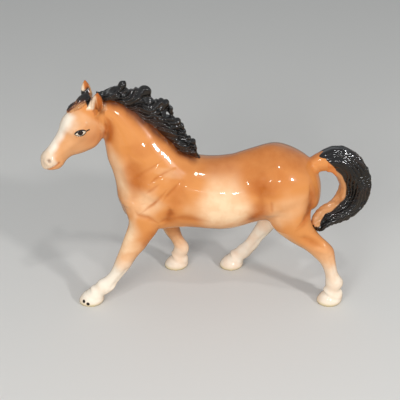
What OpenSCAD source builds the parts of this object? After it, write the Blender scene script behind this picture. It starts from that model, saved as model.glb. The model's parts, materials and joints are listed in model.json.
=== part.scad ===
// Glazed ceramic figurine of a striding horse, built from the castings that a
// potter makes in separate moulds and joins with slip before firing: a hollow
// body with its neck, a head, two ears, a forelock, a mane, a tail and four legs.
// The horse looks towards -X, its left side is -Y, and it stands on Z = 0.

/* [Body] */
// Chest to buttocks
body_length = 117; // [105:1:130]
// Width of the barrel
barrel_width = 41; // [36:1:46]
// Depth of the barrel, back to belly
barrel_depth = 43.5; // [39:0.5:48]
// Ground to the lowest point of the belly
belly_height = 44; // [42:0.5:50]
// Rise of the croup above the hollow of the back
croup_rise = 8; // [5:0.5:10]
// Thickness of the cast wall
wall = 3.2; // [2:0.1:4.5]
// Diameter of the vent hole under the belly
vent_d = 2.6; // [1.5:0.1:4]

/* [Neck and head] */
// Ground to the poll, behind the ears
poll_height = 123; // [118:1:130]
// How far the poll stands in front of the chest
poll_reach = 10; // [6:1:16]
// Width of the neck halfway up
neck_width = 19; // [15:0.5:23]
// Poll to the front of the muzzle
head_length = 48; // [44:0.5:54]
// Width of the head across the eyes
head_width = 18; // [15:0.5:20]
// Depth of the head from forehead to jaw
head_depth = 25; // [22:0.5:28]
// Angle of the head below the horizontal
head_pitch = 50; // [45:1:60]
// Angle that the head turns to its left
head_turn = 24; // [0:1:32]
// Length of an ear
ear_length = 12.5; // [10:0.5:15]

/* [Mane and tail] */
// Height of the mane above the crest, halfway along the neck
mane_height = 10.5; // [8:0.5:13]
// Width of the mane at its root
mane_width = 11; // [8:0.5:14]
// Thickness of the tail, front to back
tail_depth = 17; // [13:0.5:20]
// Width of the tail
tail_width = 13; // [10:0.5:16]
// How far the tail hangs below the back
tail_drop = 40; // [37:0.5:43]

/* [Legs] */
// Distance between the left and right hooves, centre to centre
track_width = 36; // [30:1:42]
// Length of a hoof at the ground
hoof_length = 15; // [12:0.5:18]
// Width of a hoof at the ground
hoof_width = 12.5; // [10:0.5:15]
// Width of a leg at the cannon bone
cannon_width = 7; // [5.5:0.5:9]

/* [Hidden] */

chest_x = -body_length / 2;
rump_x = body_length / 2;

// ---- Lofts -------------------------------------------------------------
// A station of a loft is [x, y, z, half_width, front, back, front_power, back_power]:
// the centre of a section, how far it reaches sideways, and how far it reaches in
// front of and behind the centre. A power of 1 gives an ellipse, less is squarer.

function clamped(list, i) = list[max(0, min(len(list) - 1, i))];

function spline(a, b, c, d, t) =
    0.5 * (2 * b + (c - a) * t + (2 * a - 5 * b + 4 * c - d) * t * t
           + (3 * b - a - 3 * c + d) * t * t * t);

// Stations between the given ones, on a smooth curve through them all
function smoothed(list, steps) = [
    for (i = [0:len(list) - 2], k = [0:steps - 1])
        spline(clamped(list, i - 1), list[i], list[i + 1], clamped(list, i + 2), k / steps),
    list[len(list) - 1]
];

function place(s) = [s[0], s[1], s[2]];
function unit(v) = v / max(norm(v), 0.000001);
function heading(list, i) = unit(place(clamped(list, i + 1)) - place(clamped(list, i - 1)));
function powered(x, p) = sign(x) * pow(abs(x), p);

// How far a point is from the line between two others
function line_gap(p, a, b) =
    let (along = b - a, t = max(0, min(1, (p - a) * along / max(along * along, 0.000001))))
    norm(p - a - along * t);

// A muscle is [from, to, radius, height]. A negative height makes a hollow.
function swelling(p, muscles) =
    let (lifts = [for (m = muscles) let (g = line_gap(p, m[0], m[1]) / m[2]) m[3] * exp(-g * g / 2)])
    len(lifts) == 0 ? 0 : lifts * [for (m = muscles) 1];

// One ring of a loft. Upright rings stand square to X, the others square to the path.
// Flutes are [how many, how deep, turn from ring to ring] and run along the loft.
function section(list, i, sides, muscles, upright, flutes) =
    let (s = list[i], ahead = upright ? [1, 0, 0] : heading(list, i),
         side = unit([0, 1, 0] - ahead * ahead[1]), front = cross(ahead, side))
    [for (k = [0:sides - 1])
        let (a = 360 * k / sides,
             across = side * s[3] * powered(cos(a), sin(a) > 0 ? s[6] : s[7])
                      + front * (sin(a) > 0 ? s[4] : s[5]) * sin(a),
             p = place(s) + across, flute = flutes[1] * cos(flutes[0] * a + flutes[2] * i))
        p + unit(across) * (swelling(p, muscles) + min(flute, 0.2 * norm(across)))];

function rings(stations, sides, steps, muscles = [], upright = false, flutes = [0, 0, 0]) =
    let (list = smoothed(stations, steps))
    [for (i = [0:len(list) - 1]) section(list, i, sides, muscles, upright, flutes)];

module skin(rings) {
    sides = len(rings[0]);
    last = len(rings) - 1;
    middle_of = function (ring) [for (p = ring) 1] * ring / sides;
    points = concat([for (ring = rings) each ring], [middle_of(rings[0]), middle_of(rings[last])]);
    pole = len(points) - 2;
    polyhedron(points, concat(
        [for (i = [0:last - 1], k = [0:sides - 1])
            let (a = i * sides + k, b = i * sides + (k + 1) % sides)
            each [[a, b + sides, b], [a, a + sides, b + sides]]],
        [for (k = [0:sides - 1]) [k, (k + 1) % sides, pole]],
        [for (k = [0:sides - 1])
            [last * sides + k, pole + 1, last * sides + (k + 1) % sides]]));
}

function mirrored(muscles) =
    [for (m = muscles) each [m, [[m[0][0], -m[0][1], m[0][2]], [m[1][0], -m[1][1], m[1][2]], m[2], m[3]]]];

// ---- Body --------------------------------------------------------------
belly_z = belly_height;
back_z = belly_height + barrel_depth;
half = barrel_width / 2;
vent_x = 4;

// [distance from the chest, top, bottom, half width] down the length of the trunk
function trunk_station(x, top, bottom, w, top_power = 1, bottom_power = 0.9, inset = 0) =
    let (middle = bottom + 0.47 * (top - bottom))
    [x, 0, middle, max(w - inset, 0.5), max(top - middle - inset, 0.5),
     max(middle - bottom - inset, 0.5), top_power, bottom_power];

function trunk(inset = 0) = [
    trunk_station(chest_x + 2 + inset, back_z - 26, belly_z + 14, 0.2 * half, 1, 1, inset),
    trunk_station(chest_x + 4 + inset, back_z - 22, belly_z + 10.5, 0.42 * half, 1, 0.9, inset),
    trunk_station(chest_x + 8, back_z - 16, belly_z + 7, 0.64 * half, 1, 0.9, inset),
    trunk_station(chest_x + 14, back_z - 8, belly_z + 4, 0.82 * half, 1, 0.85, inset),
    trunk_station(chest_x + 25, back_z - 1, belly_z + 3, 0.94 * half, 1.1, 0.85, inset),
    trunk_station(chest_x + 38, back_z + 2.5, belly_z + 1.2, 0.97 * half, 1.15, 0.85, inset),
    trunk_station(chest_x + 52, back_z + 0.5, belly_z, half, 1.05, 0.85, inset),
    trunk_station(rump_x - 50, back_z + 0.6, belly_z + 1.8, 1.02 * half, 1, 0.85, inset),
    trunk_station(rump_x - 38, back_z + 0.55 * croup_rise, belly_z + 5.5, half, 1, 0.9, inset),
    trunk_station(rump_x - 28, back_z + croup_rise, belly_z + 8.5, 0.98 * half, 1, 0.95, inset),
    trunk_station(rump_x - 19, back_z + 0.72 * croup_rise, belly_z + 10, 0.93 * half, 1, 1, inset),
    trunk_station(rump_x - 11, back_z + 0.2 * croup_rise, belly_z + 11, 0.8 * half, 1, 1, inset),
    trunk_station(rump_x - 5, back_z - 4.5, belly_z + 12, 0.6 * half, 1, 1, inset),
    trunk_station(rump_x - 1.5 - inset, back_z - 10, belly_z + 14, 0.36 * half, 1, 1, inset),
    trunk_station(rump_x - inset, back_z - 16, belly_z + 19, 0.14 * half, 1, 1, inset)
];

poll = [chest_x - poll_reach, 0, poll_height];
rise = poll_height - back_z;

// The neck and the shoulders that it grows out of, from the elbows to the poll, as
// [share of the poll's reach, throat ahead of the chest, throat's share of the rise,
//  crest ahead of the chest, crest's share of the rise, half width over neck_width, mane's share]
neck_lines = [
    [0, -18, -1.1, -64, -0.12, 0.98, 0],
    [0, -6, -0.98, -53, -0.05, 1.02, 0.1],
    [0, -0.2, -0.7, -43, 0.1, 0.99, 0.27],
    [0, 0.8, -0.42, -36.5, 0.25, 0.88, 0.38],
    [0.1, 1.3, -0.18, -30.5, 0.45, 0.76, 0.59],
    [0.3, 1.6, 0.04, -24, 0.71, 0.62, 0.83],
    [0.5, 0.4, 0.25, -18, 0.92, 0.5, 0.9],
    [0.8, -1.6, 0.465, -13, 1.07, 0.41, 0.51],
    [1, 0, 0.66, -6.5, 1.12, 0.35, 0.21],
    [1, 3, 0.9, -1, 1.1, 0.22, 0.1]
];
function throat(s) = [chest_x - s[1] - s[0] * poll_reach, 0, back_z + s[2] * rise];
function crest(s) = [chest_x - s[3] - s[0] * poll_reach, 0, back_z + s[4] * rise];

// Each ring hangs on the line from crest to throat, and is sharper at the crest
function neck_rings(inset, count, sides, steps) = [
    for (s = smoothed([for (i = [0:count - 1]) let (n = neck_lines[i])
            concat(throat(n), crest(n), [n[5] * neck_width])], steps))
        let (low = [s[0], 0, s[2]], high = [s[3], 0, s[5]], depth = norm(low - high) / 2 - inset)
        [for (k = [0:sides - 1]) let (a = 360 * k / sides)
            (low + high) / 2 + unit(low - high) * depth * sin(a)
            + [0, s[6] - inset, 0] * powered(cos(a), sin(a) > 0 ? 1 : 1.15)]];

body_muscles = mirrored([
    // shoulder blade, point of the shoulder, elbow, girth behind it, flank, haunch, buttock
    [[chest_x + 13, -16, back_z - 16], [chest_x + 28, -13, back_z - 3], 6, 1.8],
    [[chest_x + 6, -15, belly_z + 20], [chest_x + 6, -15, belly_z + 20], 6, 1.6],
    [[chest_x + 27, -16, belly_z + 9], [chest_x + 25, -16, belly_z + 13], 4, 1.2],
    [[chest_x + 33, -20, belly_z + 12], [chest_x + 35, -19, belly_z + 26], 4, -0.9],
    [[rump_x - 42, -18, belly_z + 14], [rump_x - 45, -16, back_z - 6], 6, -1.6],
    [[rump_x - 25, -18, belly_z + 20], [rump_x - 21, -15, back_z - 6], 10, 2.2],
    [[rump_x - 9, -0.44 * half, belly_z + 20], [rump_x - 8, -0.44 * half, back_z - 10], 5, 1.2]
]);

module trunk_solid() skin(rings(trunk(), 24, 2, body_muscles, true));
module neck_solid() skin(neck_rings(0, len(neck_lines), 22, 3));

// The slip-cast hollow runs from the rump up into the neck
module hollow() {
    skin(rings(trunk(wall), 16, 1, [], true));
    skin(neck_rings(wall, len(neck_lines) - 2, 14, 1));
}

module body() color("peru") difference() {
    union() {
        trunk_solid();
        neck_solid();
        for (leg = legs) limb(leg, true);
    }
    hollow();
    translate([vent_x, 0, belly_z - 1]) cylinder(d = vent_d, h = 4 * wall, $fn = 24);
}

// ---- Legs --------------------------------------------------------------
side_y = track_width / 2;
cannon = cannon_width / 2;

// Each leg is [stations, index of the station where it was luted to the body].
// Stations run down the limb, so "front" is towards the chest.

// left fore, reaching forwards
left_fore = [
    [chest_x + 17, -11, belly_z + 22, 9, 11, 11, 1, 1],
    [chest_x + 15.5, -13.5, belly_z + 13, 8, 9.5, 10, 1, 1],
    [chest_x + 13, -15, belly_z + 4.5, 6.4, 7.2, 8.2, 1, 1],
    [chest_x + 9.5, -16, 41.5, 5.4, 6.2, 6.8, 1, 1],
    [chest_x + 5.2, -17, 33.5, 4.8, 5.4, 5.4, 1, 1],
    [chest_x + 2.2, -17.5, 27.5, 4.7, 5.0, 4.8, 0.9, 0.9],
    [chest_x - 1.6, -side_y, 20.7, cannon, 3.9, 3.8, 1, 1],
    [chest_x - 5.4, -side_y, 15.2, cannon, 4, 4.2, 1, 1],
    [chest_x - 8.6, -side_y, 11.4, cannon + 0.8, 4.6, 5.6, 1, 1],
    [chest_x - 12.2, -side_y, 8.4, cannon + 0.4, 4.4, 4.6, 1, 1],
    [chest_x - 15.0, -side_y, 6.4, cannon + 1.2, 5, 5.2, 1, 1]
];
left_fore_hoof = [chest_x - 18.0, -side_y];

right_fore = [
    [chest_x + 18, 11, belly_z + 22, 9, 10, 11, 1, 1],
    [chest_x + 20, 13.5, belly_z + 13, 8, 8.5, 9.5, 1, 1],
    [chest_x + 22.5, 15, belly_z + 4.5, 6.4, 7, 7.6, 1, 1],
    [chest_x + 25, 16, 41.5, 5.4, 6, 6.2, 1, 1],
    [chest_x + 28, 17, 33.5, 4.8, 5.2, 5.2, 1, 1],
    [chest_x + 30.3, 17.5, 27.5, 4.7, 5, 4.6, 0.9, 0.9],
    [chest_x + 33, side_y, 21, cannon, 3.9, 3.8, 1, 1],
    [chest_x + 35, side_y, 16.5, cannon, 4, 4.2, 1, 1],
    [chest_x + 35.8, side_y, 12.6, cannon + 0.8, 4.6, 5.2, 1, 1],
    [chest_x + 34.4, side_y, 9, cannon + 0.4, 4.4, 4.6, 1, 1],
    [chest_x + 33, side_y, 6.8, cannon + 1.2, 5, 5.2, 1, 1]
];
right_fore_hoof = [chest_x + 32, side_y];

left_hind = [
    [rump_x - 22, -9, back_z - 12, 10.5, 14, 15, 1, 1],
    [rump_x - 20, -11, belly_z + 22, 9.5, 14, 15, 1, 1],
    [rump_x - 17.5, -13, belly_z + 12, 8.2, 12.5, 12, 1, 1],
    [rump_x - 11.5, -14.5, belly_z + 3.5, 6.4, 8.6, 8.2, 1, 1],
    [rump_x - 5, -16, 42, 5, 6.6, 6.2, 1, 1],
    [rump_x + 1.5, -17, 36.5, 4.4, 5.6, 6.4, 0.95, 0.95],
    [rump_x + 5.4, -side_y, 29, cannon + 0.2, 4.4, 4.4, 1, 1],
    [rump_x + 7.8, -side_y, 21, cannon, 3.8, 3.8, 1, 1],
    [rump_x + 9.8, -side_y, 14.2, cannon + 0.8, 4.6, 5.2, 1, 1],
    [rump_x + 9.2, -side_y, 9.8, cannon + 0.4, 4.2, 4.4, 1, 1],
    [rump_x + 8.2, -side_y, 6.8, cannon + 1.2, 5, 5.2, 1, 1]
];
left_hind_hoof = [rump_x + 7.6, -side_y];

right_hind = [
    [rump_x - 24, 9, back_z - 12, 10.5, 14, 15, 1, 1],
    [rump_x - 25, 11, belly_z + 22, 9.5, 14, 15, 1, 1],
    [rump_x - 28, 13, belly_z + 12, 8.2, 11.5, 12, 1, 1],
    [rump_x - 27.5, 14.5, belly_z + 1.5, 6.4, 8, 8.2, 1, 1],
    [rump_x - 26, 16, 38.5, 5, 6.2, 6.6, 1, 1],
    [rump_x - 29.5, 17, 30.5, 4.4, 5.2, 5.6, 0.95, 0.95],
    [rump_x - 35, side_y, 21.5, cannon, 4.2, 4.2, 1, 1],
    [rump_x - 38.5, side_y, 15.8, cannon, 3.9, 4, 1, 1],
    [rump_x - 41.5, side_y, 11.4, cannon + 0.8, 4.6, 5.2, 1, 1],
    [rump_x - 45, side_y, 8.4, cannon + 0.4, 4.4, 4.6, 1, 1],
    [rump_x - 48, side_y, 6.4, cannon + 1.2, 5, 5.2, 1, 1]
];
right_hind_hoof = [rump_x - 50, side_y];

// [stations, station of the luted joint, hoof centre]
legs = [
    [left_fore, 3, left_fore_hoof],
    [right_fore, 3, right_fore_hoof],
    [left_hind, 4, left_hind_hoof],
    [right_hind, 4, right_hind_hoof]
];
leg_steps = 3;

module limb(leg, upper) {
    all_rings = rings(leg[0], 12, leg_steps);
    cut = leg[1] * leg_steps;
    if (upper) skin([for (i = [0:cut]) all_rings[i]]);
    else union() {
        skin([for (i = [cut:len(all_rings) - 1]) all_rings[i]]);
        translate([leg[2][0], leg[2][1], 0]) hoof();
    }
}

module leg(i) color("peru") limb(legs[i], false);

// A hoof: a slanting capsule of horn, rounded at the coronet and flat at the sole
module hoof() {
    l = hoof_length / 2;
    w = hoof_width / 2;
    outline = function (z, shift, f)
        [for (k = [0:19]) let (a = 360 * k / 20) [shift + l * f * cos(a), w * f * sin(a), z]];
    skin([outline(0, 0, 0.9), outline(0.8, 0.2, 1), outline(3, 0.9, 0.97),
          outline(5.4, 1.8, 0.86), outline(7.6, 2.8, 0.68), outline(9, 3.4, 0.4)]);
}

// ---- Head --------------------------------------------------------------
// The head is drawn along +X from the poll, face up, then pitched and turned.
hl = head_length / 48;
hw = head_width / 2;
hd = head_depth / 25;
head_origin = poll - [3, 0, 2];

// [distance from the poll, face line, jaw line, half width, powers]
head_lines = [
    [-4, 4.5, -9, 0.55, 1, 1],
    [1, 6.4, -12, 0.78, 1, 1],
    [7, 7.6, -15.4, 0.94, 0.9, 0.95],
    [12, 8.2, -17.4, 1, 0.85, 1],
    [16, 7.7, -16.8, 0.96, 0.9, 1],
    [20, 6.8, -14.5, 0.88, 0.95, 1],
    [23.5, 6.2, -11.6, 0.78, 1, 1],
    [27, 5.8, -9, 0.66, 1, 1],
    [31.5, 5.7, -7.4, 0.58, 1, 1],
    [35.5, 6, -7.4, 0.58, 0.95, 0.95],
    [38.2, 5.8, -6.7, 0.58, 0.9, 0.9],
    [40.4, 4.7, -5.2, 0.53, 0.9, 0.9],
    [42.2, 2.9, -3.3, 0.4, 0.9, 0.9],
    [43, 1.1, -1.7, 0.2, 1, 1]
];
head_stations = [for (s = head_lines) let (m = (0.6 * s[1] + 0.4 * s[2]) * hd)
    [s[0] * hl, 0, m, s[3] * hw, s[1] * hd - m, m - s[2] * hd, s[4], s[5]]];
head_rings = rings(head_stations, 20, 3, mirrored([
    // cheek, brow, nostril
    [[14 * hl, -7, -9], [14 * hl, -7, -9], 5, 0.8],
    [[12 * hl, -8.5, 1], [14 * hl, -8.5, 0.5], 2.4, 0.9],
    [[37.5 * hl, -5, 1.5], [37.5 * hl, -5, 1.5], 2, 0.7]
]));

module at_head() translate(head_origin) rotate([0, 0, 180 + head_turn])
    rotate([0, head_pitch, 0]) children();

module head_solid() at_head() skin(head_rings);

module head() color("peru") difference() {
    head_solid();
    neck_solid();
}

// ---- Ears and forelock -------------------------------------------------
ear_w = 3.5;
ear_lean = -140;
// The far ear is pricked a little further forward, in mm along, across and up the head
right_ear_shift = [0.6, -0.7, 0.9];

// [share of the length, across, half width, back, front]
ear_lines = [
    [-0.25, -1.6, 0.7, 0.6, 0.7],
    [0, -0.4, 0.9, 0.75, 0.75],
    [0.28, 0, 1, 0.8, 0.75],
    [0.58, 0.3, 0.86, 0.62, 0.62],
    [0.85, 0.2, 0.5, 0.36, 0.36],
    [1, 0, 0.12, 0.1, 0.1]
];

module ear_loft(sy, scale_to, sides) skin(rings(
    [for (s = ear_lines) let (w = ear_w * scale_to)
        [s[0] * ear_length, sy * s[1], 0, s[2] * w, s[3] * w, s[4] * w, 1, 1]], sides, 2));

module at_ear(sy) at_head() translate([-0.6, sy * 6.6, -2.6] + (sy < 0 ? right_ear_shift : [0, 0, 0]))
    rotate([sy * -16, 0, 0]) rotate([0, ear_lean, 0]) children();

module ear_solid(sy) at_ear(sy) ear_loft(sy, 1, 10);

// An ear is scooped out in front and to its outside
module ear(sy) color("peru") difference() {
    ear_solid(sy);
    at_ear(sy) translate([0.12 * ear_length, sy * 0.4 * ear_w, -0.55 * ear_w]) scale([0.84, 1, 1])
        ear_loft(sy, 0.6, 7);
    head_solid();
    neck_solid();
}

forelock_length = 10;
forelock_w = 4.7;

// [distance from the poll, across, height over the poll, half width, front, back]
forelock_lines = [
    [-5, 0, 3.6, 0.66, 1.9, 2.4],
    [-1, 0, 5.4, 0.95, 2, 3],
    [0.3 * forelock_length, -0.3, 6.4, 1, 1.7, 3],
    [0.6 * forelock_length, -0.6, 7.2, 0.8, 1.4, 2.6],
    [0.85 * forelock_length, -0.9, 7.7, 0.46, 1, 2],
    [forelock_length, -1.2, 8, 0.12, 0.4, 0.6]
];
module forelock_solid() at_head() skin(rings([for (s = forelock_lines)
    [s[0], s[1], s[2], s[3] * forelock_w, s[4], s[5], 1, 1]], 14, 2, [], false, [4, 0.3, 8]));

module forelock() color([0.1, 0.08, 0.07]) difference() {
    forelock_solid();
    head_solid();
    neck_solid();
    ear_solid(1);
    ear_solid(-1);
}

// ---- Mane --------------------------------------------------------------
// Places along the crest are counted in stations of the neck, 0 at the withers.
crest_line = [for (s = neck_lines) [crest(s)[0], 0, crest(s)[2], s[6]]];
function on_crest(t) =
    let (i = max(0, min(len(crest_line) - 2, floor(t))))
    spline(clamped(crest_line, i - 1), crest_line[i], crest_line[i + 1],
           clamped(crest_line, i + 2), t - i);
function out_of_crest(t) =
    let (d = unit(place(on_crest(t - 0.1)) - place(on_crest(t + 0.1)))) [-d[2], 0, d[0]];

// A point of the mane: t along the crest, up in mane heights, y to the side
function in_mane(t, up, y) =
    place(on_crest(t)) + out_of_crest(t) * up * on_crest(t)[3] * mane_height + [0, y, 0];

// A lock rises out of the crest, bends back over it and ends in a tip
module lock(t, side, r, lift, tip = 0.86) {
    y = side * mane_width;
    path = [in_mane(t, 0, 0.1 * y), in_mane(t - 0.3, 0.45 * lift, 0.24 * y),
            in_mane(t - 0.7, 0.85 * lift, 0.3 * y), in_mane(t - 1.05, lift, 0.34 * y),
            in_mane(t - 1.3, tip * lift, 0.36 * y)];
    girth = [1, 1.15, 1, 0.7, 0.15];
    skin(rings([for (i = [0:len(path) - 1])
        [path[i][0], path[i][1], path[i][2], girth[i] * r, girth[i] * r, girth[i] * r, 1, 1]], 6, 2));
}

module mane_solid() {
    skin(rings([for (i = [1:len(neck_lines) - 1])
        let (p = crest_line[i], up = 0.88 * p[3] * mane_height, w = mane_width / 2 * (0.45 + 0.55 * p[3]))
        [p[0], 0, p[2], w, up, 4, 1.25, 1]], 14, 3));
    for (t = [2.95:1.05:9]) lock(t, 0, 0.28 * mane_height, 1.07);
    lock(8.42, 0, 0.2 * mane_height, 1.15, 1.9);
    for (side = [-1, 1], t = [3.6:1.2:8.6]) lock(t, side, 0.22 * mane_height, 0.7);
}

module mane() color([0.1, 0.08, 0.07]) difference() {
    mane_solid();
    trunk_solid();
    neck_solid();
    head_solid();
    forelock_solid();
    ear_solid(1);
    ear_solid(-1);
}

// ---- Tail --------------------------------------------------------------
td = tail_depth / 2;
tw = tail_width / 2;
tail_stations = [
    [rump_x - 10, 0, back_z - 0.2 * tail_drop, 0.45 * tw, 0.4 * td, 0.5 * td, 1, 1],
    [rump_x - 4, 0, back_z - 0.085 * tail_drop, 0.6 * tw, 0.5 * td, 0.55 * td, 1, 1],
    [rump_x + 2, 0, back_z - 0.02 * tail_drop, 0.8 * tw, 0.76 * td, 0.74 * td, 1, 1],
    [rump_x + 8.5, 0, back_z - 0.005 * tail_drop, 0.95 * tw, td, 0.96 * td, 1, 1],
    [rump_x + 15.2, 0, back_z - 0.1375 * tail_drop, tw, 1.04 * td, 1.02 * td, 1, 1],
    [rump_x + 19, 0, back_z - 0.3375 * tail_drop, tw, 1.04 * td, 1.02 * td, 1, 1],
    [rump_x + 19.4, -0.5, back_z - 0.5125 * tail_drop, tw, 1.04 * td, 1.04 * td, 1, 1],
    [rump_x + 16.4, -2, back_z - 0.675 * tail_drop, 0.97 * tw, 0.98 * td, td, 1, 1],
    [rump_x + 11.6, -4, back_z - 0.76 * tail_drop, 0.88 * tw, 0.9 * td, 0.86 * td, 1, 1],
    [rump_x + 6, -6.5, back_z - 0.815 * tail_drop, 0.74 * tw, 0.76 * td, 0.7 * td, 1, 1],
    [rump_x + 1.2, -9.5, back_z - 0.885 * tail_drop, 0.55 * tw, 0.54 * td, 0.45 * td, 1, 1],
    [rump_x - 1.2, -11.5, back_z - tail_drop, 0.2 * tw, 0.2 * td, 0.2 * td, 1, 1]
];
tail_rings = rings(tail_stations, 22, 2, [], false, [6, 0.5, 6]);
module tail_solid() skin(tail_rings);
module tail() color([0.1, 0.08, 0.07]) difference() {
    tail_solid();
    trunk_solid();
    limb(legs[2], true);
    limb(legs[2], false);
}

// ---- Place in the part's frame ------------------------------------------
// The origin lies on the ground, midway between the muzzle and the back of the tail.
muzzle_x = min([for (ring = head_rings) for (p = ring)
    head_origin[0] - cos(head_turn) * (cos(head_pitch) * p[0] + sin(head_pitch) * p[2])
    + sin(head_turn) * p[1]]);
tail_x = max([for (ring = tail_rings) for (p = ring) p[0]]);
module placed() translate([-(muzzle_x + tail_x) / 2, 0, 0]) children();

placed() body();
placed() head();
placed() ear(1);  // left_ear
placed() ear(-1);  // right_ear
placed() forelock();
placed() mane();
placed() tail();
placed() leg(0);  // left_foreleg
placed() leg(1);  // right_foreleg
placed() leg(2);  // left_hindleg
placed() leg(3);  // right_hindleg
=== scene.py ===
"""A glazed ceramic figurine of a striding horse, dressed for its portrait: the modelled
skin, the strands of the mane and the tail, the airbrushed colours under a clear glaze,
the light and the camera. Places are in millimetres from a point on the ground midway
between the soles of the two left hooves: +Z is up, the horse looks towards -X and its
left side is -Y."""
import json
import math
from contextlib import contextmanager

import bmesh
import bpy
import numpy as np
from mathutils import Matrix, Vector
from mathutils.bvhtree import BVHTree

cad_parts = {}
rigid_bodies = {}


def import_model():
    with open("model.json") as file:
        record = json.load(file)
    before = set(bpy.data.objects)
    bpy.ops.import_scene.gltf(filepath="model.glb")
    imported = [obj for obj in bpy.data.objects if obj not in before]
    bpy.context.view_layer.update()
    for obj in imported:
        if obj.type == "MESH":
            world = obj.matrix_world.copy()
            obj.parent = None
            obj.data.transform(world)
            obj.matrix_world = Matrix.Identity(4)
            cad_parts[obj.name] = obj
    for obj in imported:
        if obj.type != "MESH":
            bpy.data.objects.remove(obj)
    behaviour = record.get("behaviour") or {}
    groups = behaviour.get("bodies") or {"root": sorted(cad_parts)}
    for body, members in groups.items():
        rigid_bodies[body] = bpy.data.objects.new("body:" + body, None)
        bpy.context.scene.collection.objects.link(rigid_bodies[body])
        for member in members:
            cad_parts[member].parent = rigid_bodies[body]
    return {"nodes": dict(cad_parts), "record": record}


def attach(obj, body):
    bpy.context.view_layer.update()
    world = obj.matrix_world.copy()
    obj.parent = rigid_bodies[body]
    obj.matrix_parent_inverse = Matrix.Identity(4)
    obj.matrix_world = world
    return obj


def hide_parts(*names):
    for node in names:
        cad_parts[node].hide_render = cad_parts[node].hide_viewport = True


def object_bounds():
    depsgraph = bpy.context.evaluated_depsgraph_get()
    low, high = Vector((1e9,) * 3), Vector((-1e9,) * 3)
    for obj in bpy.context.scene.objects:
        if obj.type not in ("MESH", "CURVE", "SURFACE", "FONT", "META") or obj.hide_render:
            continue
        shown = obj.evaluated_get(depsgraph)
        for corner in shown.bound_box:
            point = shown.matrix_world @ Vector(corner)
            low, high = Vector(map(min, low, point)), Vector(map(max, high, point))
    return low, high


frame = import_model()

for spare in [o for o in bpy.data.objects if o.name in ("Cube", "Light", "Camera")]:
    bpy.data.objects.remove(spare)

cad_low, cad_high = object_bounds()
MM = 0.001
SOLES = {m["name"]: np.array(m["pos_m"]) / MM for m in frame["record"]["mounts"]}
ORIGIN = np.array(((SOLES["left_fore_sole"][0] + SOLES["left_hind_sole"][0]) / 2, 0, 0))
HOOVES = [tuple((sole - ORIGIN)[:2]) for sole in SOLES.values()]

# ---- Sizes of the modelling, in millimetres ----
SKIN_GRAIN = 0.55       # how fine the skin's mesh is
HAIR_GRAIN = 0.32       # how fine the mane, the tail and the forelock are
SMOOTH_BODY = 2.2       # how wide the hand smooths the trunk and the neck
SMOOTH_HEAD = 1.0       # and the head
SMOOTH_LEGS = 1.35      # and the legs
SMOOTH_EARS = 0.5       # and the thin ears
EAR_MORE = 0.7          # how much wider the hand makes the ears
VENT_AT = (9.2, 0.0)    # the vent hole under the belly
VENT_WIDE = 2.6
VENT_DEEP = 6.0
DOCK_END = 68.0         # where the bare root of the tail ends and its hair begins
SOLE_FLAT = 0.35        # up to this height the table presses a sole flat
MERGED = 0.001          # points nearer than this are one point

# The head hangs from the poll, turned to the horse's left and pitched down.
HEAD_AT = np.array((-66.3, 0.0, 121.0))
HEAD_TURN = math.radians(24)
HEAD_PITCH = math.radians(50)


# ---- Small tools ----
def only(obj):
    """Selects one object alone and makes it active."""
    bpy.ops.object.select_all(action="DESELECT")
    obj.select_set(True)
    bpy.context.view_layer.objects.active = obj
    return obj


def joined(obj, others):
    """Joins other objects into one."""
    only(obj)
    for other in others:
        other.select_set(True)
    if others:
        bpy.ops.object.join()
    return obj


def remeshed(obj, grain):
    """Fuses a mesh into one closed skin of an even grain."""
    only(obj)
    modifier = obj.modifiers.new("remesh", "REMESH")
    modifier.mode = "VOXEL"
    modifier.voxel_size = grain * MM
    modifier.adaptivity = 0
    bpy.ops.object.modifier_apply(modifier=modifier.name)
    return obj


@contextmanager
def opened(obj):
    """The mesh of an object, open for changes that are written back at the end."""
    made = bmesh.new()
    made.from_mesh(obj.data)
    yield made
    made.to_mesh(obj.data)
    made.free()


def object_of(name, made):
    """A new object from an open mesh."""
    mesh = bpy.data.meshes.new(name)
    made.to_mesh(mesh)
    made.free()
    obj = bpy.data.objects.new(name, mesh)
    bpy.context.scene.collection.objects.link(obj)
    return obj


def cast_from(name, node):
    """A new mesh from a copy of a CAD node, with the doubles of its triangles merged."""
    made = bmesh.new()
    made.from_mesh(frame["nodes"][node].data)
    bmesh.ops.remove_doubles(made, verts=made.verts, dist=MERGED * MM)
    return object_of(name, made)


def at(place):
    """A place of the drawing as one of the scene, in metres."""
    return Vector((np.array(place, float) + ORIGIN) * MM)


def points_of(obj):
    """The vertices of an object, as places of the drawing."""
    co = np.empty(len(obj.data.vertices) * 3)
    obj.data.vertices.foreach_get("co", co)
    return co.reshape(-1, 3) / MM - ORIGIN


def move_to(obj, points):
    obj.data.vertices.foreach_set("co", ((points + ORIGIN) * MM).ravel())
    obj.data.update()


def normals_of(obj):
    no = np.empty(len(obj.data.vertices) * 3)
    obj.data.vertex_normals.foreach_get("vector", no)
    return no.reshape(-1, 3)


def edges_of(obj):
    ends = np.empty(len(obj.data.edges) * 2, int)
    obj.data.edges.foreach_get("vertices", ends)
    return ends.reshape(-1, 2)


def blurred(values, edges, share, rounds):
    """Values at the vertices, spread evenly to their neighbours again and again."""
    count = len(values)
    a, b = edges[:, 0], edges[:, 1]
    links = np.maximum(np.bincount(a, minlength=count) + np.bincount(b, minlength=count), 1)
    flat = np.array(values, float).reshape(count, -1)
    weight = np.broadcast_to(share, count) / links
    for _ in range(rounds):
        for k in range(flat.shape[1]):
            column = flat[:, k].copy()
            near = np.bincount(a, column[b], count) + np.bincount(b, column[a], count)
            flat[:, k] = column + weight * (near - links * column)
    return flat.reshape(np.shape(values))


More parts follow.
